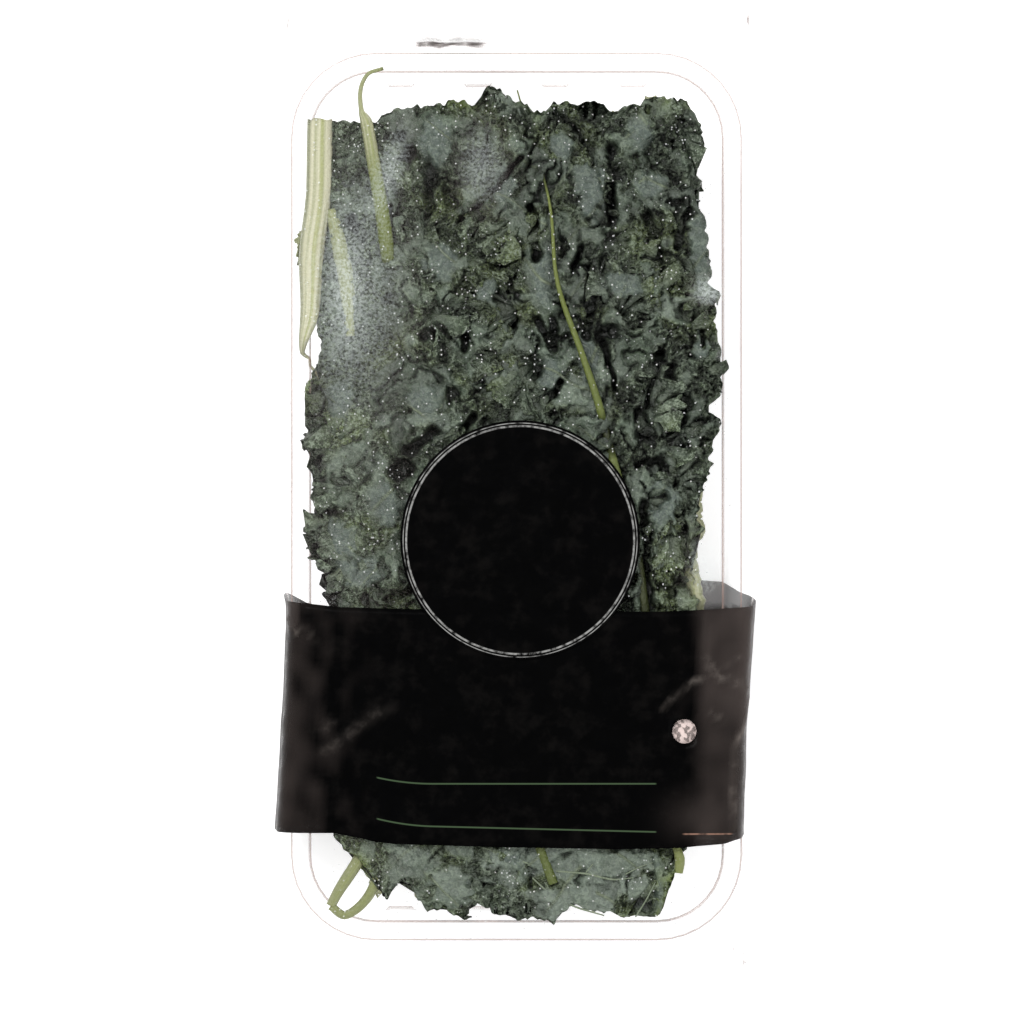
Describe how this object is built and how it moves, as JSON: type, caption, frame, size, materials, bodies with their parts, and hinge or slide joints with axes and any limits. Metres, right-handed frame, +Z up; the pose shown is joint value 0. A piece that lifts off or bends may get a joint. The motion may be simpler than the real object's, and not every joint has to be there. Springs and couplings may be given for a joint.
{
  "type": "packed kale bunch",
  "caption": "Curly kale leaves with their stems, laid head to tail in a clear tray inside a clear film bag with a black band, lying flat.",
  "frame": {"origin": "on the surface that the pack lies on, under the middle of its outline", "axes": "+X across the pack, +Y along it towards the plain sealed end, +Z up through its front film"},
  "size_m": [0.1668, 0.322, 0.0476],
  "materials": {
    "kale_leaf": "satin",
    "clear_tray": "gloss",
    "clear_film": "gloss",
    "black_print": "satin"
  },
  "bodies": {
    "root": {"leaf_01": "kale_leaf", "leaf_02": "kale_leaf", "leaf_03": "kale_leaf", "leaf_04": "kale_leaf", "leaf_05": "kale_leaf", "leaf_06": "kale_leaf", "leaf_07": "kale_leaf", "leaf_08": "kale_leaf", "leaf_09": "kale_leaf", "leaf_10": "kale_leaf", "leaf_11": "kale_leaf", "leaf_12": "kale_leaf", "leaf_13": "kale_leaf", "leaf_14": "kale_leaf", "leaf_15": "kale_leaf", "tray": "clear_tray", "bag_film": "clear_film", "printed_band": "black_print"}
  },
  "joints": []
}
